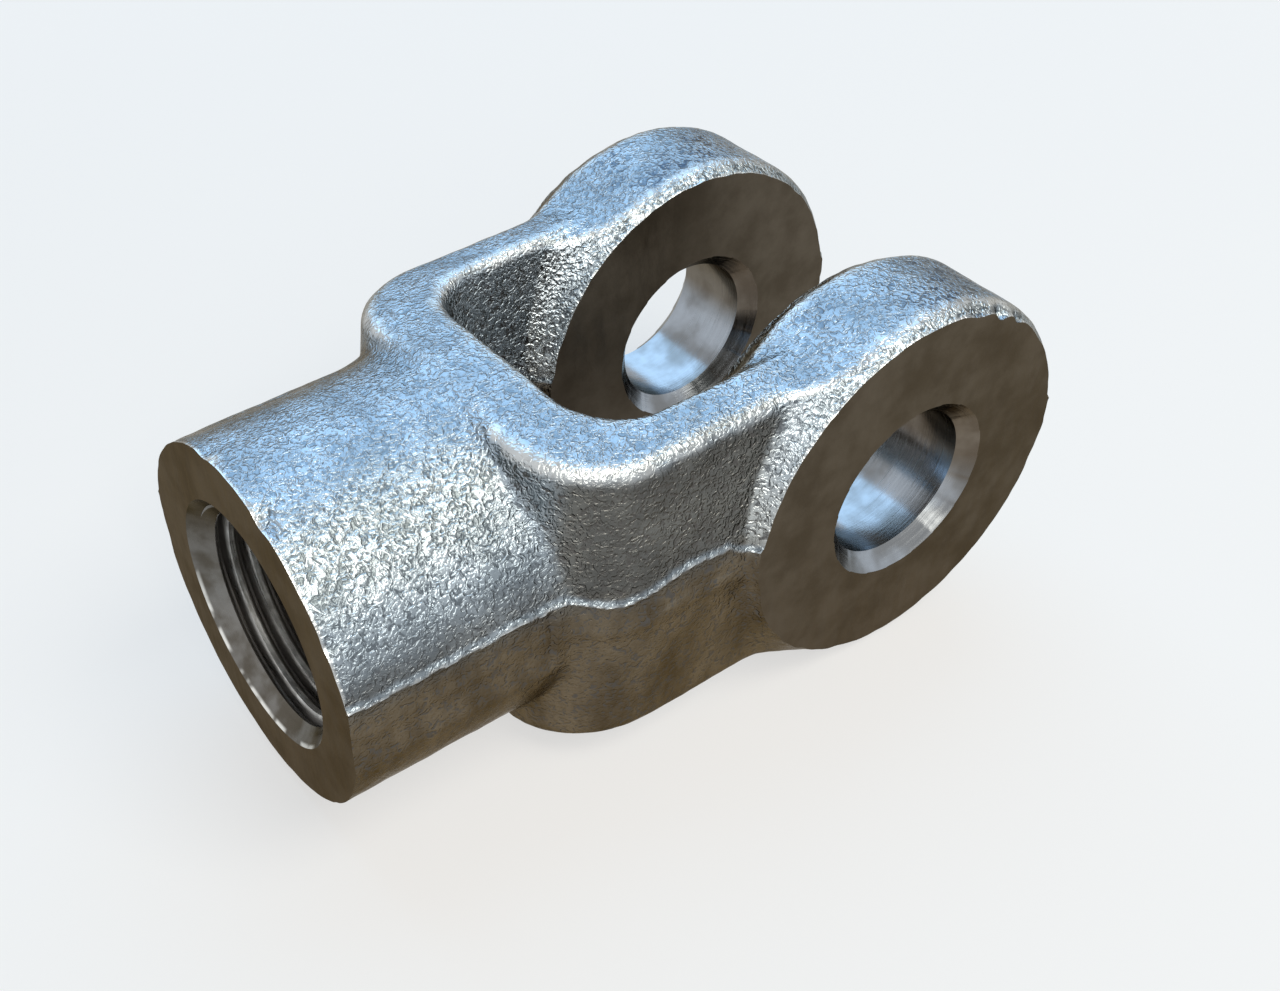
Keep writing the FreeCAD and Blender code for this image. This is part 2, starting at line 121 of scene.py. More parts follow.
# The line where the dies met runs round the outer sides at this height. It has a rough burr, a small ledge
# under it that fades out further down, and a seam. It dips behind the crotch (how deep, where and how wide),
# lies lower along the ears (how deep, from where to where), and wanders: each part of that has its height,
# how often it turns along X, and its own course on each side. It fades out where a side's normal turns up or
# down between two limits, and the faces near it are made finer.
FLASH_HEIGHT = 3.25
FLASH_REACH = 8.0
FLASH_BURR = 0.2
FLASH_BURR_WIDTH = 0.28
BURR_MEAN, BURR_SWING = 0.65, 0.5
BURR_OFTEN, BURR_COURSE = 1.4, 3.0
FLASH_LEDGE = 0.16
LEDGE_STEP = (0.1, -0.2)
LEDGE_FADE = (-4.5, -2.5)
SEAM_DEPTH = 0.05
SEAM_BELOW = 2.1
SEAM_WIDTH = 0.25
BACK_DIP = (1.0, -27.4, 2.4)
EAR_DIP = (1.2, -18.3, -16.3)
FLASH_WANDER = ((0.3, 0.35, 4.0), (0.12, 1.7, 9.0))
UPRIGHT = (0.75, 0.45)
EAR_TIP_RADIUS = 15
FINE_WITHIN = 0.75

# How far the skin is chipped back along the edges that machining leaves, how far from the edge, from which
# radius on an ear, and how big and how common the chips are. A crest, where a highlight is painted, stands
# this far out from the skin as it would be after more smoothing.
RIM_WEAR = 0.15
RIM_WIDTH = 0.6
EAR_RIM = (13.5, 14.5)
CHIP_SIZE = 1.7
CHIP_SHARE = 0.1
CREST_LOW, CREST_HIGH = 0.035, 0.12
CREST_SHARE = 0.7
CREST_TURNS = 8

# Small dents from handling: where each is, its radius and its depth.
NICKS = (((7.4, -18.3, 14.0), 0.7, 0.65), ((9.4, -18.3, 12.7), 0.5, 0.4), ((4.7, -18.2, 15.3), 1.0, 0.3),
         ((-49.5, -5.2, 14.1), 1.0, 0.5), ((-49.5, 3.0, 14.7), 0.9, 0.3), ((-49.5, -12.6, 8.0), 0.7, 0.3))

# The cutters: how far out they reach, how far outside what they cut they start, where the facing of the ears
# starts, how deep the end's cutter, the mouth and the thread's run-out are, how unevenly the bevels are cut,
# and how many sides the turned ones have. Edges sharper than the last angle stay sharp.
FAR = 30
OUTSIDE = 1
FACING_START = -22
END_CUT = 5
MOUTH_DEPTH = 3
TAP_RUNOUT = 4
CHATTER = 0.07
FLUTES = 19
TURNED_STEPS = 160
TAP_STEPS = 96
SHARP_ANGLE = math.radians(35)


def new_object(name, mesh):
    made = bpy.data.objects.new(name, mesh)
    bpy.context.scene.collection.objects.link(made)
    return made


def drop(thing):
    """Removes a working object with its mesh."""
    mesh = thing.data
    bpy.data.objects.remove(thing)
    bpy.data.meshes.remove(mesh)


def mesh_of(name, points, faces):
    mesh = bpy.data.meshes.new(name)
    mesh.from_pydata([tuple(point) for point in points], [], [tuple(face) for face in faces])
    mesh.update()
    return mesh


def get_points(mesh):
    flat = np.empty(len(mesh.vertices) * 3)
    mesh.vertices.foreach_get("co", flat)
    return flat.reshape(-1, 3)


def set_points(mesh, points):
    mesh.vertices.foreach_set("co", np.asarray(points, float).ravel())
    mesh.update()


def get_normals(mesh):
    return np.array([tuple(vertex.normal) for vertex in mesh.vertices])


def with_modifier(thing, kind, **settings):
    """The object's mesh after one modifier, which replaces its old mesh."""
    modifier = thing.modifiers.new(kind, kind)
    for name, value in settings.items():
        setattr(modifier, name, value)
    bpy.context.view_layer.update()
    graph = bpy.context.evaluated_depsgraph_get()
    made = bpy.data.meshes.new_from_object(thing.evaluated_get(graph))
    thing.modifiers.clear()
    old = thing.data
    thing.data = made
    bpy.data.meshes.remove(old)
    return thing


def facing_out(thing):
    """Turns all faces outward."""
    work = bmesh.new()
    work.from_mesh(thing.data)
    bmesh.ops.recalc_face_normals(work, faces=work.faces)
    work.to_mesh(thing.data)
    work.free()


def rows_of_quads(rows, many):
    """Faces that join closed rows, each of as many points."""
    faces = []
    for row in range(rows - 1):
        for spot in range(many):
            nearby = (spot + 1) % many
            faces.append((row * many + spot, row * many + nearby,
                          (row + 1) * many + nearby, (row + 1) * many + spot))
    return faces


def neighbour_mean(mesh):
    """A function that gives each point's mean of its neighbours."""
    pairs = np.empty(len(mesh.edges) * 2, int)
    mesh.edges.foreach_get("vertices", pairs)
    one, other = pairs.reshape(-1, 2).T
    count = len(mesh.vertices)
    shares = np.bincount(one, minlength=count) + np.bincount(other, minlength=count)

    def mean(points):
        total = np.empty_like(points)
        for axis in range(points.shape[1]):
            total[:, axis] = np.bincount(one, points[other, axis], count)
            total[:, axis] += np.bincount(other, points[one, axis], count)
        return total / shares[:, None]

    return mean


def smoothed(points, mean, share, turns):
    """The points after some turns, each of which moves them a share of the way to their neighbours' mean."""
    for turn in range(turns):
        points = points + share * (mean(points) - points)
    return points


def ease(low, high, value):
    """0 below low and 1 above high, with a smooth step between, or the other way with low above high."""
    share = min(1.0, max(0.0, (value - low) / (high - low)))
    return share * share * (3 - 2 * share)


def bell(value, width):
    return math.exp(-(value / width) ** 2)


def blank_from_frame():
    """The CAD solid with its bores filled and its machined faces grown by the allowance."""
    mesh = frame["nodes"]["clevis"].data.copy()
    set_points(mesh, get_points(mesh) / MM)
    work = bmesh.new()
    work.from_mesh(mesh)
    bmesh.ops.remove_doubles(work, verts=work.verts, dist=WELD)

    def in_bore(face):
        places = [vertex.co for vertex in face.verts]
        pin = all(math.hypot(x, z) < PIN_RADIUS + PIN_BEVEL + NEAR for x, y, z in places)
        rod = all(math.hypot(y, z) < MOUTH_RADIUS + NEAR for x, y, z in places)
        behind_jaw = all(x < CROTCH_X + CROTCH_REACH for x, y, z in places)
        return pin or (rod and behind_jaw)

    bmesh.ops.delete(work, geom=[face for face in work.faces if in_bore(face)], context="FACES")
    bmesh.ops.holes_fill(work, edges=[edge for edge in work.edges if edge.is_boundary], sides=0)
    bmesh.ops.triangulate(work, faces=work.faces)
    bmesh.ops.recalc_face_normals(work, faces=work.faces)
    for vertex in work.verts:
        x, y, z = vertex.co
        radius = math.hypot(x, z)
        if x < END_X + NEAR:
            vertex.co.x -= ALLOWANCE
        elif abs(y) > EAR_Y - NEAR or abs(abs(y) - JAW_Y) < NEAR:
            outward = math.copysign(1, y) * (1 if abs(y) > EAR_Y - NEAR else -1)
            vertex.co.y += outward * ALLOWANCE
            if radius > EAR_FACE_RADIUS - NEAR:
                shrink = 1 - FLANK_SLOPE * ALLOWANCE / radius
                vertex.co.x *= shrink
                vertex.co.z *= shrink
    work.to_mesh(mesh)
    work.free()
    return new_object("blank", mesh)


def shoulder_path():
    """The fork's outline from one side round its back to the other: each place, and the direction outward."""
    centre_x, centre_y = FORK_BACK + SHOULDER_RADIUS, FORK_SIDE - SHOULDER_RADIUS
    path = [(SHOULDER_END, -FORK_SIDE, 0, -1)]
    for side, start in ((-1, 3), (1, 2)):
        for step in range(SHOULDER_STEPS + 1):
            angle = math.pi * (start - step / SHOULDER_STEPS) / 2
            across, out = math.cos(angle), math.sin(angle)
            x, y = centre_x + SHOULDER_RADIUS * across, side * centre_y + SHOULDER_RADIUS * out
            path.append((x, y, across, out))
    path.append((SHOULDER_END, FORK_SIDE, 0, 1))
    return path


def shoulder_section():
    """The band's section: top (1) or bottom (-1), how far in from the outline, how far below the crown."""
    turns = [math.radians(90 / EDGE_STEPS) * step for step in range(EDGE_STEPS + 1)]
    rounding = [(SHOULDER_EDGE * (1 - math.cos(turn)), SHOULDER_EDGE * (1 - math.sin(turn)))
                for turn in turns]
    upper = [(SHOULDER_DEPTH, SHOULDER_SINK)] + rounding[::-1]
    return [(1, *spot) for spot in upper] + [(0, 0, 0)] + [(-1, *spot) for spot in upper[::-1]]


def add_shoulders(blank):
    """Joins a band round the fork's back to the blank, which squares its corners and sharpens their ridge."""
    path, section = shoulder_path(), shoulder_section()

    def crown(y, below):
        return FORK_TOP - y ** 2 / (2 * CROWN_RADIUS) - below

    points = []
    for x, y, across, out in path:
        for side, inset, below in section:
            inward = inset + abs(side * crown(y, below)) * DRAFT
            there = y - out * inward
            points.append((x - across * inward, there, side * crown(there, below)))
    many = len(section)
    faces = [tuple(range(many)), tuple(range(len(points) - many, len(points)))]
    faces += rows_of_quads(len(path), many)
    band = new_object("shoulders", mesh_of("shoulders", points, faces))
    facing_out(band)
    with_modifier(blank, "BOOLEAN", operation="UNION", object=band, solver="MANIFOLD")
    drop(band)
    return blank


def flash_height(x, side):
    """Height of the flash line at a place along the rod, on the near side (-1) or the far side (1)."""
    depth, place, width = BACK_DIP
    dip = depth * bell(x - place, width)
    depth, start, end = EAR_DIP
    dip += depth * ease(start, end, x)
    wander = sum(height * noise.noise((often * x, course * side, 0))
                 for height, often, course in FLASH_WANDER)
    return FLASH_HEIGHT - dip + wander


def on_outside(point, normal):
    """How much a point belongs to the outer sides, where the flash line runs."""
    x, y, z = point
    behind_crotch = x < CROTCH_X - CROTCH_REACH
    outer = behind_crotch or y * normal.y > 0 or math.hypot(x, z) > EAR_TIP_RADIUS
    return ease(*UPRIGHT, abs(normal.z)) if outer else 0.0


def near_rim(point):
    """How close a point lies to an edge that machining leaves on the skin, from 0 to 1."""
    x, y, z = point
    end = bell(x - END_X, RIM_WIDTH)
    ear = max(bell(abs(y) - EAR_Y, RIM_WIDTH), bell(abs(y) - JAW_Y, RIM_WIDTH))
    return max(end, ear * ease(*EAR_RIM, math.hypot(x, z)))


def forged_height(point, normal):
    """How far the forging's real surface stands out from the drawn one, along the normal."""
    x, y, z = point
    lumps = LUMP_DEPTH * (noise.noise(point / LUMP_SIZE) - 1)
    lumps += PEEN_DEPTH * (noise.noise(point / PEEN_SIZE) - 1)
    lumps -= RIM_WEAR * near_rim(point) * max(0.0, noise.noise(point / CHIP_SIZE) + CHIP_SHARE)
    outside = on_outside(point, normal)
    if outside == 0 or abs(z) > FLASH_REACH:
        return lumps
    above = z - flash_height(x, math.copysign(1, y))
    roughly = BURR_MEAN + BURR_SWING * noise.noise((BURR_OFTEN * x, y, BURR_COURSE))
    burr = FLASH_BURR * roughly * bell(above, FLASH_BURR_WIDTH)
    ledge = FLASH_LEDGE * ease(*LEDGE_STEP, above) * ease(*LEDGE_FADE, above)
    seam = -SEAM_DEPTH * bell(above + SEAM_BELOW, SEAM_WIDTH)
    return lumps + outside * (burr + ledge + seam)


def refine_flash(blank):
    """Finer faces along the flash line, so that its burr is a real edge."""
    work = bmesh.new()
    work.from_mesh(blank.data)
    work.normal_update()

    def near_line(vertex):
        x, y, z = vertex.co
        above = z - flash_height(x, math.copysign(1, y))
        return abs(above) < FINE_WITHIN and on_outside(vertex.co, vertex.normal) > 0.5

    close = {vertex for vertex in work.verts if near_line(vertex)}
    edges = [edge for edge in work.edges if all(vertex in close for vertex in edge.verts)]
    bmesh.ops.subdivide_edges(work, edges=edges, cuts=1, use_grid_fill=True)
    bmesh.ops.triangulate(work, faces=[face for face in work.faces if len(face.verts) > 4])
    work.to_mesh(blank.data)
    work.free()


def fill_neck(mesh, points, mean):
    """Rounds out the hollow between the barrel and the fork's back, and leaves what stands proud there."""
    outward = get_normals(mesh)
    at_neck = (points[:, 0] > NECK[0]) & (points[:, 0] < NECK[1])
    for turn in range(NECK_TURNS):
        step = SMOOTH_SHARE * (mean(points) - points)
        hollow = at_neck & ((step * outward).sum(axis=1) > 0)
        points[hollow] += step[hollow]


def forge(blank):
    """Gives the blank its flowing shapes, its flash line and its rough skin."""
    with_modifier(blank, "REMESH", mode="VOXEL", voxel_size=VOXEL, adaptivity=0)
    mesh = blank.data
    mean = neighbour_mean(mesh)
    points = smoothed(get_points(mesh), mean, SMOOTH_SHARE, SMOOTH_TURNS)
    set_points(mesh, points)
    fill_neck(mesh, points, mean)
    trimmed = (points[:, 0] < TRIM_END) & (abs(points[:, 2]) < TRIM_HEIGHT)
    points[trimmed, 1] = np.clip(points[trimmed, 1], -BARREL_TRIM, BARREL_TRIM)
    set_points(mesh, points)
    refine_flash(blank)
    normals = [vertex.normal.copy() for vertex in mesh.vertices]
    places = [vertex.co.copy() for vertex in mesh.vertices]
    moved = [place + normal * forged_height(place, normal) for place, normal in zip(places, normals)]
    for centre, radius, depth in NICKS:
        centre = Vector(centre)
        for index, place in enumerate(places):
            far = (place - centre).length
            if far < 2 * radius:
                moved[index] -= normals[index] * depth * bell(far, radius)
    set_points(mesh, moved)
    return blank


def mark_crests(mesh):
    """Stores how sharply each point stands out from the skin round it: that is where a highlight is painted.
    """
    points = get_points(mesh)
    eased = smoothed(points, neighbour_mean(mesh), CREST_SHARE, CREST_TURNS)
    height = ((points - eased) * get_normals(mesh)).sum(axis=1)
    share = np.clip((height - CREST_LOW) / (CREST_HIGH - CREST_LOW), 0, 1)
    crest = mesh.attributes.new("crest", "FLOAT", "POINT")
    crest.data.foreach_set("value", share.astype(np.float32))


def box_cutter(name, low, high):
    corners = [(x, y, z) for x in (low[0], high[0]) for y in (low[1], high[1]) for z in (low[2], high[2])]
    faces = [(0, 1, 3, 2), (4, 6, 7, 5), (0, 4, 5, 1), (2, 3, 7, 6), (0, 2, 6, 4), (1, 5, 7, 3)]
    return new_object(name, mesh_of(name, corners, faces))


def turned_cutter(name, outline, axis, chatter=0.0):
    """A turned solid: the outline is (place along the axis, radius), from one end to the other.

    Chatter is how unevenly it cuts where it is wider than the pin bore.
    """
    points = []
    for place, radius in outline:
        for step in range(TURNED_STEPS):
            angle = 2 * math.pi * step / TURNED_STEPS
            saw = (FLUTES * angle / (2 * math.pi)) % 1
            wide = radius + chatter * (2 * saw - 1) * (radius > PIN_RADIUS)
            across = wide * math.cos(angle), wide * math.sin(angle)
            points.append((place, *across) if axis == "X" else (across[0], place, across[1]))
    faces = rows_of_quads(len(outline), TURNED_STEPS)
    faces.append(tuple(range(TURNED_STEPS))[::-1])
    faces.append(tuple((len(outline) - 1) * TURNED_STEPS + step for step in range(TURNED_STEPS)))
    return new_object(name, mesh_of(name, points, faces))


def pin_cutter(side):
    """Drills and bevels one ear's pin bore."""
    wide = PIN_RADIUS + PIN_BEVEL
    outline = ((JAW_Y - OUTSIDE, wide + OUTSIDE), (JAW_Y + PIN_BEVEL, PIN_RADIUS),
               (EAR_Y - PIN_BEVEL, PIN_RADIUS), (EAR_Y + OUTSIDE, wide + OUTSIDE))
    return turned_cutter("pin_cut", [(side * place, radius) for place, radius in outline], "Y", CHATTER)


def thread_cutter(start, end):
    """A tap: a core with a helical ridge, from one place along X to another.

    The thread is a 60-degree one. A quarter of the pitch is flat on its crests, and an eighth in its grooves.
    """
    pitch = THREAD_PITCH
    profile = ((0, THREAD_MINOR), (0.25 * pitch, THREAD_MINOR), (0.5625 * pitch, THREAD_MAJOR),
               (0.6875 * pitch, THREAD_MAJOR))
    per_pitch = len(profile)
    rows = int((end - start) / pitch) * per_pitch
    points = []
    for step in range(TAP_STEPS):
        angle = 2 * math.pi * step / TAP_STEPS
        for row in range(rows + 1):
            along, radius = profile[row % per_pitch]
            x = start + pitch * (row // per_pitch + step / TAP_STEPS) + along
            points.append((x, radius * math.cos(angle), radius * math.sin(angle)))

    def at(step, row):
        return step * (rows + 1) + row

    final = TAP_STEPS - 1
    faces = []
    for step in range(final):
        for row in range(rows):
            faces.append((at(step, row), at(step + 1, row), at(step + 1, row + 1), at(step, row + 1)))
    for row in range(rows - per_pitch):
        later = row + per_pitch
        faces.append((at(final, row), at(0, later), at(0, later + 1), at(final, row + 1)))
    first = [at(step, 0) for step in range(TAP_STEPS)] + [at(0, row) for row in range(per_pitch, 0, -1)]
    last = [at(step, rows) for step in range(TAP_STEPS)]
    last += [at(final, row) for row in range(rows - 1, rows - per_pitch - 1, -1)]
    for loop, x in ((first, start), (last, end)):
        centre = len(points)
        points.append((x, 0, 0))
        for one, other in zip(loop, loop[1:] + loop[:1]):
            faces.append((one, other, centre))
    return new_object("tap", mesh_of("tap", points, faces))


def cut(blank, cutter, material):
    """Takes the cutter's shape out of the blank, and gives the cut this material."""
    facing_out(cutter)
    cutter.data.materials.clear()
    cutter.data.materials.append(material)
    with_modifier(blank, "BOOLEAN", operation="DIFFERENCE", object=cutter, solver="MANIFOLD",
                  material_mode="TRANSFER")
    drop(cutter)


class Shading:
    """Builds one metal's node tree. Its lengths are in millimetres, from the object's own coordinates."""

    def __init__(self, name):
        self.material = bpy.data.materials.new(name)
        self.material.use_nodes = True
        self.tree = self.material.node_tree
        self.shader = self.tree.nodes["Principled BSDF"]
        self.shader.inputs["Metallic"].default_value = 1.0
        coordinates = self.tree.nodes.new("ShaderNodeTexCoord").outputs["Object"]
        self.place = self.vector("SCALE", coordinates, Scale=1 / MM)

    def fill(self, made, inputs):
        for name, value in inputs.items():
            if isinstance(value, bpy.types.NodeSocket):
                self.tree.links.new(value, made.inputs[name])
            else:
                made.inputs[name].default_value = value

    def vector(self, operation, first, **inputs):
        made = self.tree.nodes.new("ShaderNodeVectorMath")
        made.operation = operation
        self.fill(made, {0: first, **inputs})
        return made.outputs["Vector"]

    def math(self, operation, first, second=0.0):
        made = self.tree.nodes.new("ShaderNodeMath")
        made.operation = operation
        self.fill(made, {0: first, 1: second})
        return made.outputs["Value"]

    def times(self, first, second):
        return self.math("MULTIPLY", first, second)

    def noise(self, size, detail=2.0, roughness=0.5, distortion=0.0, stretch=None):
        """Noise whose features are about this many millimetres wide, or longer along the stretched axes."""
        place = self.place
        if stretch:
            place = self.vector("MULTIPLY", place, **{"Vector_001": tuple(1 / length for length in stretch)})
        made = self.tree.nodes.new("ShaderNodeTexNoise")
        self.fill(made, {"Vector": place, "Scale": 1 / size, "Detail": detail, "Roughness": roughness,
                         "Distortion": distortion})
        return made.outputs["Fac"]

    def between(self, value, low, high, new_low=0.0, new_high=1.0):
        """A smooth step from one number to another, as the value goes from low to high."""
        made = self.tree.nodes.new("ShaderNodeMapRange")
        made.interpolation_type = "SMOOTHSTEP"
        self.fill(made, {"Value": value, "From Min": low, "From Max": high,
                         "To Min": new_low, "To Max": new_high})
        return made.outputs["Result"]

    def blend(self, share, first, second):
        """A number between two others."""
        made = self.tree.nodes.new("ShaderNodeMix")
        self.fill(made, {0: share, 2: first, 3: second})
        return made.outputs[0]

    def mix(self, share, first, second):
        """A colour between two others."""
        made = self.tree.nodes.new("ShaderNodeMix")
        made.data_type = "RGBA"
        one, other = (value if isinstance(value, bpy.types.NodeSocket) else (*value, 1)
                      for value in (first, second))
        self.fill(made, {0: share, 6: one, 7: other})
        return made.outputs[2]

    def bump(self, height, depth):
        """A normal from a height between 0 and 1 that stands this many millimetres high."""
        made = self.tree.nodes.new("ShaderNodeBump")
        self.fill(made, {"Height": height, "Distance": depth * MM, "Strength": 1.0})
        return made.outputs["Normal"]

    def stored(self, name):
        made = self.tree.nodes.new("ShaderNodeAttribute")
        made.attribute_name = name
        return made.outputs["Fac"]

    def axes(self, vector):
        made = self.tree.nodes.new("ShaderNodeSeparateXYZ")
        self.fill(made, {"Vector": vector})
        return made.outputs["X"], made.outputs["Y"], made.outputs["Z"]

    def facing(self):
        """The surface's own direction, as its parts along X, Y and Z."""
        return self.axes(self.tree.nodes.new("ShaderNodeNewGeometry").outputs["Normal"])

    def from_rod_axis(self):
        """Distance from the rod's axis."""
        x, y, z = self.axes(self.place)
        return self.math("SQRT", self.math("ADD", self.times(y, y), self.times(z, z)))

    def finish(self, **inputs):
        self.fill(self.shader, {name.replace("_", " "): value for name, value in inputs.items()})
        return self.material


def forged_skin():
    """Steel with a shot-blast finish and a worm-like grain, with a painted blue-grey reflection on top and
    browner, duller painted shade down the sides.
    """
    metal = Shading("forged_skin")
    x, y, z = metal.axes(metal.place)
    facing_x, facing_y, facing_z = metal.facing()

    # The grain and the slower patches of scale over it.
    grain = metal.noise(0.55, detail=1.5, roughness=0.5, distortion=1.4)
    fine = metal.noise(0.22, detail=2.0, roughness=0.6)
    height = metal.math("ADD", metal.between(grain, 0.3, 0.7, 0, 0.85),
                        metal.between(fine, 0.3, 0.7, 0, 0.15))
    scale = metal.between(metal.noise(5.0, detail=4.0, roughness=0.6), 0.35, 0.65)
    streaks = metal.noise(3.5, detail=4.0, roughness=0.65, stretch=(1.0, 1.0, 2.2))

    # The sides, in painted shade: a brown painted reflection under the flash line and grey above it, duller
    # further out, and a painted highlight where the ears face back.
    flank = metal.mix(scale, (0.10, 0.10, 0.095), (0.155, 0.155, 0.145))
    under = metal.mix(metal.between(streaks, 0.25, 0.75), (0.09, 0.07, 0.047), (0.185, 0.15, 0.105))
    inner = metal.mix(scale, (0.23, 0.27, 0.30), (0.33, 0.37, 0.40))
    # Painted highlights where the ears face back, on the inner and on the outer sides.
    outer_ear_highlight = metal.mix(scale, (0.34, 0.36, 0.355), (0.5, 0.52, 0.51))
    inner_ear_highlight = metal.mix(scale, (0.55, 0.6, 0.62), (0.75, 0.8, 0.82))
    above_flash = metal.blend(metal.between(x, -12.0, 2.0), metal.between(z, 1.0, 4.0),
                              metal.between(z, -10.0, 8.0))
    beside_ear = metal.times(metal.between(facing_x, -0.15, -0.45), metal.between(x, -22.0, -19.0))
    outer = metal.between(metal.math("ABSOLUTE", y), 12.0, 14.0)
    side = metal.mix(outer, metal.mix(beside_ear, inner, inner_ear_highlight), metal.mix(beside_ear, flank, outer_ear_highlight))
    side = metal.mix(above_flash, under, side)

    # The top, with a painted blue-grey reflection, and a brighter painted highlight where it slants towards
    # the near side.
    up = metal.between(facing_z, 0.1, 0.7)
    slanted = metal.times(metal.between(facing_y, -0.2, -0.65), metal.between(facing_z, 0.3, 0.85))
    upper = metal.mix(scale, (0.22, 0.275, 0.33), (0.31, 0.38, 0.45))
    bright = metal.mix(scale, (0.36, 0.40, 0.41), (0.52, 0.57, 0.585))
    steel = metal.mix(up, side, metal.mix(slanted, upper, bright))

    # Painted shade in the pits between the grains, tinted by facing like the rest, and darker and wider in
    # patches on top of the ears.
    ear_patches = metal.blend(metal.between(x, -9.0, -1.0), 0.0,
                         metal.between(metal.noise(6.0, detail=3.0), 0.42, 0.6))
    upper_pits = metal.mix(ear_patches, (0.14, 0.18, 0.22), (0.055, 0.08, 0.12))
    pits = metal.mix(up, (0.10, 0.095, 0.09), metal.mix(slanted, upper_pits, (0.09, 0.105, 0.11)))
    deep = metal.blend(slanted, metal.blend(ear_patches, 0.4, 0.75), 0.7)
    steel = metal.mix(metal.between(height, 0.0, deep), pits, steel)

    # What faces the far side gets the brown painted shade too.
    steel = metal.mix(metal.between(facing_y, 0.2, 0.65), steel, under)

    # Crests that face up get a painted highlight. The grain is flatter there, and under the flash line.
    crest = metal.times(metal.stored("crest"), metal.between(facing_z, 0.05, 0.4))
    colour = metal.mix(metal.times(crest, 0.8), steel, (0.62, 0.63, 0.62))
    roughness = metal.between(scale, 0.0, 1.0, 0.28, 0.20)
    relief = metal.times(metal.between(crest, 0.0, 1.0, 1.0, 0.35), metal.between(z, 1.0, 4.0, 0.45, 1.0))
    return metal.finish(Base_Color=colour, Roughness=roughness, Specular_Tint=(0.5, 0.45, 0.38, 1),
                        Normal=metal.bump(metal.times(height, relief), 0.10))


def machined_face():
    """Milled and turned faces gone dull: dark and warm, with faint streaks."""
    metal = Shading("machined_face")
    blotches = metal.noise(4.0, detail=5.0, roughness=0.6)
    streaks = metal.noise(0.8, detail=3.0, roughness=0.6, stretch=(1.0, 1.0, 4.0))
    share = metal.times(metal.between(blotches, 0.3, 0.7), metal.between(streaks, 0.2, 0.8, 0.75, 1))
    colour = metal.mix(share, (0.082, 0.067, 0.05), (0.124, 0.104, 0.08))
    roughness = metal.between(streaks, 0.3, 0.7, 0.34, 0.44)
    return metal.finish(Base_Color=colour, Roughness=roughness, Specular_Tint=(0.5, 0.44, 0.37, 1),
                        Normal=metal.bump(streaks, 0.008))


def bored_metal():
    """Drilled bores with fine rings: a painted highlight where they face up, and brown painted shade
    elsewhere.
    """
    metal = Shading("pin_bore")
    rings = metal.noise(0.5, detail=3.0, roughness=0.6, stretch=(14.0, 0.35, 14.0))
    blotches = metal.between(metal.noise(4.0, detail=3.0), 0.35, 0.65)
    bright = metal.mix(blotches, (0.19, 0.2, 0.21), (0.34, 0.38, 0.43))
    # The bright colour is a painted highlight and the brown one painted shade, chosen by facing.
    painted_shade = metal.mix(blotches, (0.13, 0.105, 0.08), (0.22, 0.19, 0.155))
    colour = metal.mix(metal.between(metal.facing()[2], 0.0, 0.5), painted_shade, bright)
    roughness = metal.between(rings, 0.3, 0.7, 0.16, 0.28)
    return metal.finish(Base_Color=colour, Roughness=roughness, Specular_Tint=(0.5, 0.46, 0.4, 1),
                        Normal=metal.bump(rings, 0.008))


def mouth_metal():
    """The countersink: turned and dull, with painted shade where it faces down and a broken painted highlight
    at its outer edge.
    """
    metal = Shading("bore_mouth")
    rings = metal.noise(0.6, detail=3.0, roughness=0.6, stretch=(0.5, 8.0, 8.0))
    blotches = metal.between(metal.noise(2.5, detail=3.0), 0.35, 0.65)
    facing_z = metal.facing()[2]
    bright = metal.mix(blotches, (0.10, 0.09, 0.075), (0.19, 0.185, 0.175))
    # Painted shade where the countersink faces down.
    painted_shade = metal.mix(blotches, (0.05, 0.042, 0.032), (0.09, 0.078, 0.062))
    colour = metal.mix(metal.between(facing_z, -0.5, 0.2), painted_shade, bright)
    # A broken painted highlight along the outer edge, where it faces up.
    edge = metal.between(metal.from_rod_axis(), MOUTH_RADIUS - 0.3, MOUTH_RADIUS - 0.1)
    broken = metal.between(metal.noise(2.6, detail=2.0), 0.40, 0.52)
    lit = metal.times(edge, metal.between(facing_z, 0.0, 0.35))
    colour = metal.mix(metal.times(lit, broken), colour, (0.75, 0.75, 0.72))
    roughness = metal.between(rings, 0.3, 0.7, 0.24, 0.36)
    return metal.finish(Base_Color=colour, Roughness=roughness, Specular_Tint=(0.5, 0.46, 0.4, 1),
                        Normal=metal.bump(rings, 0.012))


def tapped_metal():
    """The rod thread: cut steel, bright on its crests, with painted shade in its grooves."""
    metal = Shading("rod_thread")
    rings = metal.noise(0.5, detail=3.0, roughness=0.6, stretch=(0.35, 10.0, 10.0))
    blotches = metal.between(metal.noise(1.5, detail=3.0), 0.35, 0.65)
    crest = metal.mix(blotches, (0.5, 0.49, 0.47), (0.85, 0.85, 0.83))
    # Painted shade: the grooves, further from the axis, are darker.
    groove = metal.between(metal.from_rod_axis(), THREAD_MINOR + 0.08, THREAD_MINOR + 0.4)
    colour = metal.mix(groove, crest, (0.2, 0.19, 0.18))
    roughness = metal.between(rings, 0.3, 0.7, 0.26, 0.44)
    return metal.finish(Base_Color=colour, Roughness=roughness, Specular_Tint=(0.7, 0.68, 0.65, 1),
                        Normal=metal.bump(rings, 0.01))


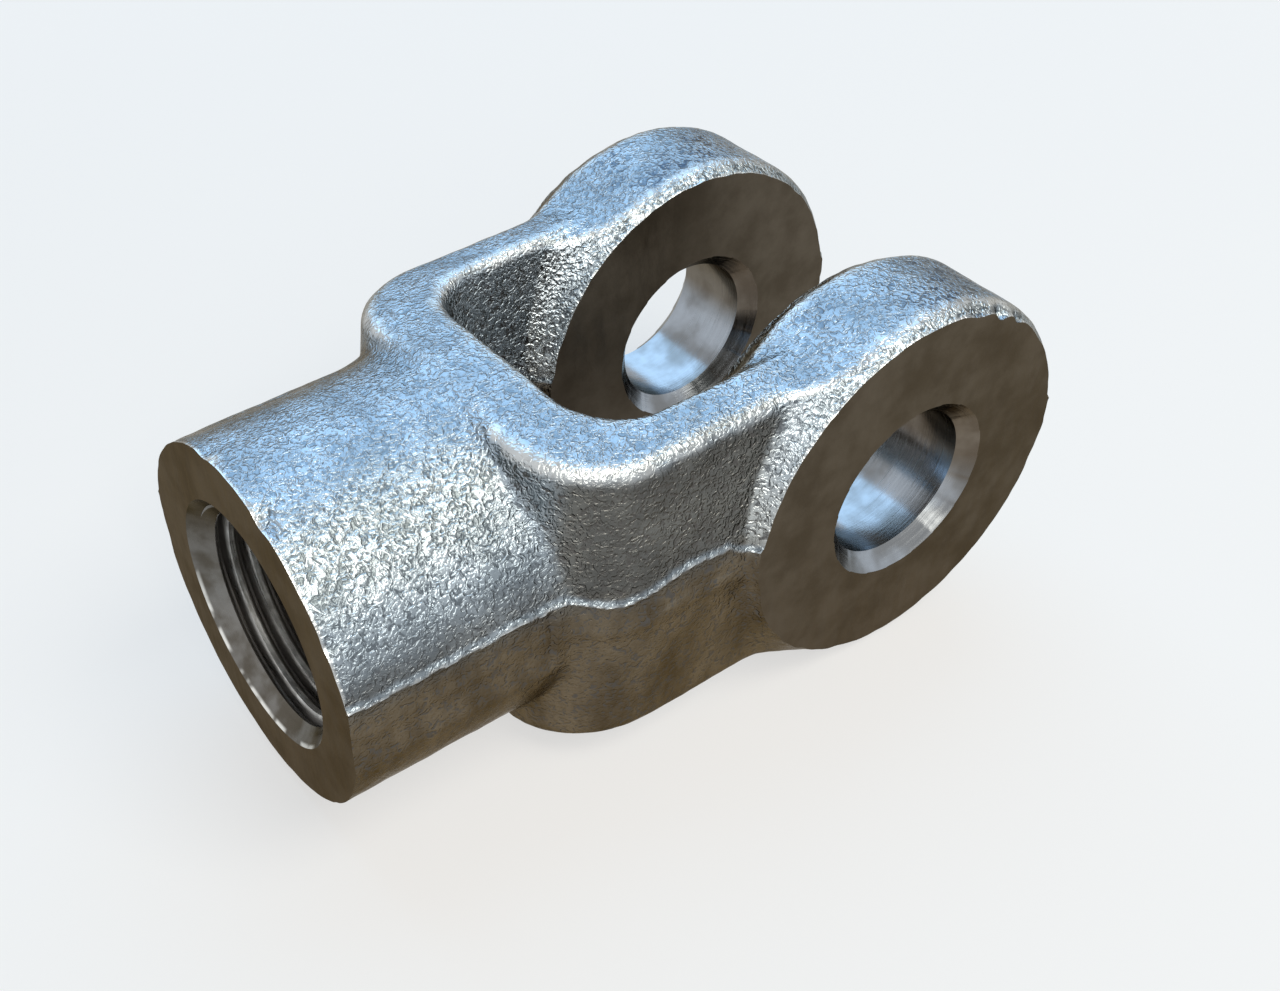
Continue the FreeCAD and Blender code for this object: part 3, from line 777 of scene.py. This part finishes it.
def machine(piece, turned, bored, tapped, mouth):
    """Cuts the barrel's end, the ears' faces, the pin bore, the rod bore's mouth and its thread."""
    cut(piece, box_cutter("end_cut", (END_X - END_CUT, -FAR, -FAR), (END_X, FAR, FAR)), turned)
    for side in (-1, 1):
        low, high = sorted((side * EAR_Y, side * FAR))
        cut(piece, box_cutter("ear_cut", (FACING_START, low, -FAR), (FAR, high, FAR)), turned)
    cut(piece, box_cutter("jaw_cut", (FACING_START, -JAW_Y, -FAR), (FAR, JAW_Y, FAR)), turned)
    for side in (-1, 1):
        cut(piece, pin_cutter(side), bored)
    cone = ((END_X - OUTSIDE, MOUTH_RADIUS + OUTSIDE), (END_X + MOUTH_DEPTH, MOUTH_RADIUS - MOUTH_DEPTH))
    cut(piece, turned_cutter("mouth_cut", cone, "X"), mouth)
    cut(piece, thread_cutter(END_X - 2 * OUTSIDE, CROTCH_X + TAP_RUNOUT), tapped)


def make_clevis():
    """The finished forging, in metres, which stands for the CAD solid and keeps inside its box."""
    skin = forged_skin()
    metals = machined_face(), bored_metal(), tapped_metal(), mouth_metal()
    piece = forge(add_shoulders(blank_from_frame()))
    piece.data.materials.clear()
    piece.data.materials.append(skin)
    machine(piece, *metals)
    piece.name = "clevis_forging"
    piece.data.name = piece.name
    mark_crests(piece.data)
    low, high = np.array(CAD_LOW) / MM, np.array(CAD_HIGH) / MM
    set_points(piece.data, np.clip(get_points(piece.data), low, high) * MM)
    for polygon in piece.data.polygons:
        polygon.use_smooth = True
    piece.data.set_sharp_from_angle(angle=SHARP_ANGLE)
    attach(piece, "root")
    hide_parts("clevis")


# The camera stands where the photograph was taken from.
CAMERA_PLACE = Vector((-78.88, -79.95, 82.99)) * MM
CAMERA_AZIMUTH = 31.16
CAMERA_ELEVATION = 44.05
CAMERA_ROLL = -4.06
CAMERA_LENS = 44.18
CAMERA_SHIFT = (0.1356, 0.0742)
CAMERA_CLIP = 0.005

# The floor's own white is shown in part near the object, where its shadow lies, and fully further off.
FLOOR_HALF = 2.0
FLOOR_COLOUR = (0.8, 0.785, 0.765)
FLOOR_WHITE_SHARE = 0.6
FLOOR_FADE = (0.08, 0.45)

# Each lamp's name, azimuth, elevation, width, brightness and colour, what all of them face and from how far,
# and how bright the world is as a light.
LAMPS = (("window", 62, 48, 0.72, 1.3, (0.45, 0.9, 1.35)),
         ("key", 292, 57, 0.32, 5.1, (1.04, 1, 0.9)),
         ("side", 245, 36, 0.32, 3.6, (1.04, 1, 0.9)))
LAMP_CENTRE = Vector((-0.016, 0, 0))
LAMP_DISTANCE = 0.6
WORLD_LIGHT = 0.15


def add_camera():
    camera = bpy.data.cameras.new("camera")
    camera.lens = CAMERA_LENS
    camera.shift_x, camera.shift_y = CAMERA_SHIFT
    camera.clip_start = CAMERA_CLIP
    holder = new_object("camera", camera)
    azimuth, elevation = math.radians(CAMERA_AZIMUTH), math.radians(CAMERA_ELEVATION)
    aim = Vector((math.sin(azimuth) * math.cos(elevation), math.cos(azimuth) * math.cos(elevation),
                  -math.sin(elevation)))
    roll = Quaternion((0, 0, 1), math.radians(CAMERA_ROLL))
    holder.location = CAMERA_PLACE
    holder.rotation_mode = "QUATERNION"
    holder.rotation_quaternion = aim.to_track_quat("-Z", "Y") @ roll
    bpy.context.scene.camera = holder


def seen_directly(tree):
    """1 for what the camera, a reflection or a glass sees, and 0 for light that the surface scatters."""
    light_path = tree.nodes.new("ShaderNodeLightPath")
    seen = light_path.outputs["Is Camera Ray"]
    for name in ("Is Glossy Ray", "Is Transmission Ray"):
        either = tree.nodes.new("ShaderNodeMath")
        either.operation = "MAXIMUM"
        tree.links.new(seen, either.inputs[0])
        tree.links.new(light_path.outputs[name], either.inputs[1])
        seen = either.outputs["Value"]
    return seen


def floor_white_share(tree):
    """How much of the floor's own white is seen, which grows with the distance from the object."""
    away = tree.nodes.new("ShaderNodeVectorMath")
    away.operation = "LENGTH"
    tree.links.new(tree.nodes.new("ShaderNodeTexCoord").outputs["Object"], away.inputs[0])
    fade = tree.nodes.new("ShaderNodeMapRange")
    fade.interpolation_type = "SMOOTHSTEP"
    fade.inputs["From Min"].default_value, fade.inputs["From Max"].default_value = FLOOR_FADE
    fade.inputs["To Min"].default_value = FLOOR_WHITE_SHARE
    tree.links.new(away.outputs["Value"], fade.inputs["Value"])
    share = tree.nodes.new("ShaderNodeMath")
    share.operation = "MULTIPLY"
    tree.links.new(seen_directly(tree), share.inputs[0])
    tree.links.new(fade.outputs["Result"], share.inputs[1])
    return share.outputs["Value"]


def floor_material():
    material = bpy.data.materials.new("floor")
    material.use_nodes = True
    tree = material.node_tree
    matt = tree.nodes["Principled BSDF"]
    matt.inputs["Base Color"].default_value = (*FLOOR_COLOUR, 1)
    matt.inputs["Roughness"].default_value = 1.0
    white = tree.nodes.new("ShaderNodeEmission")
    both = tree.nodes.new("ShaderNodeMixShader")
    tree.links.new(floor_white_share(tree), both.inputs["Fac"])
    tree.links.new(matt.outputs["BSDF"], both.inputs[1])
    tree.links.new(white.outputs["Emission"], both.inputs[2])
    tree.links.new(both.outputs["Shader"], tree.nodes["Material Output"].inputs["Surface"])
    return material


def add_floor():
    """A pale floor whose own white shows through to the eye, and which keeps the object's shadow."""
    half = FLOOR_HALF
    corners = [(-half, -half, 0), (half, -half, 0), (half, half, 0), (-half, half, 0)]
    mesh = mesh_of("floor", corners, [(0, 1, 2, 3)])
    mesh.materials.append(floor_material())
    floor = new_object("floor", mesh)
    floor.location.z = CAD_LOW.z


def add_lamp(name, azimuth, elevation, width, brightness, colour):
    """A square soft lamp that faces the object. Its brightness is how bright it looks, where white is 1."""
    lamp = bpy.data.lights.new(name, "AREA")
    lamp.shape = "SQUARE"
    lamp.size = width
    lamp.energy = brightness * math.pi * width ** 2
    lamp.color = colour
    holder = new_object(name, lamp)
    azimuth, elevation = math.radians(azimuth), math.radians(elevation)
    way = Vector((math.cos(azimuth) * math.cos(elevation), math.sin(azimuth) * math.cos(elevation),
                  math.sin(elevation)))
    holder.location = LAMP_CENTRE + LAMP_DISTANCE * way
    holder.rotation_euler = (-way).to_track_quat("-Z", "Y").to_euler()


def add_world():
    """White to the eye and in reflections, and dimmer as a light."""
    world = bpy.data.worlds.new("world")
    bpy.context.scene.world = world
    world.use_nodes = True
    tree = world.node_tree
    strength = tree.nodes.new("ShaderNodeMapRange")
    strength.inputs["To Min"].default_value = WORLD_LIGHT
    tree.links.new(seen_directly(tree), strength.inputs["Value"])
    tree.links.new(strength.outputs["Result"], tree.nodes["Background"].inputs["Strength"])
    tree.nodes["Background"].inputs["Color"].default_value = (1, 1, 1, 1)


make_clevis()
add_camera()
add_floor()
for lamp in LAMPS:
    add_lamp(*lamp)
add_world()
bpy.context.scene.view_settings.view_transform = "Standard"

bpy.context.view_layer.update()
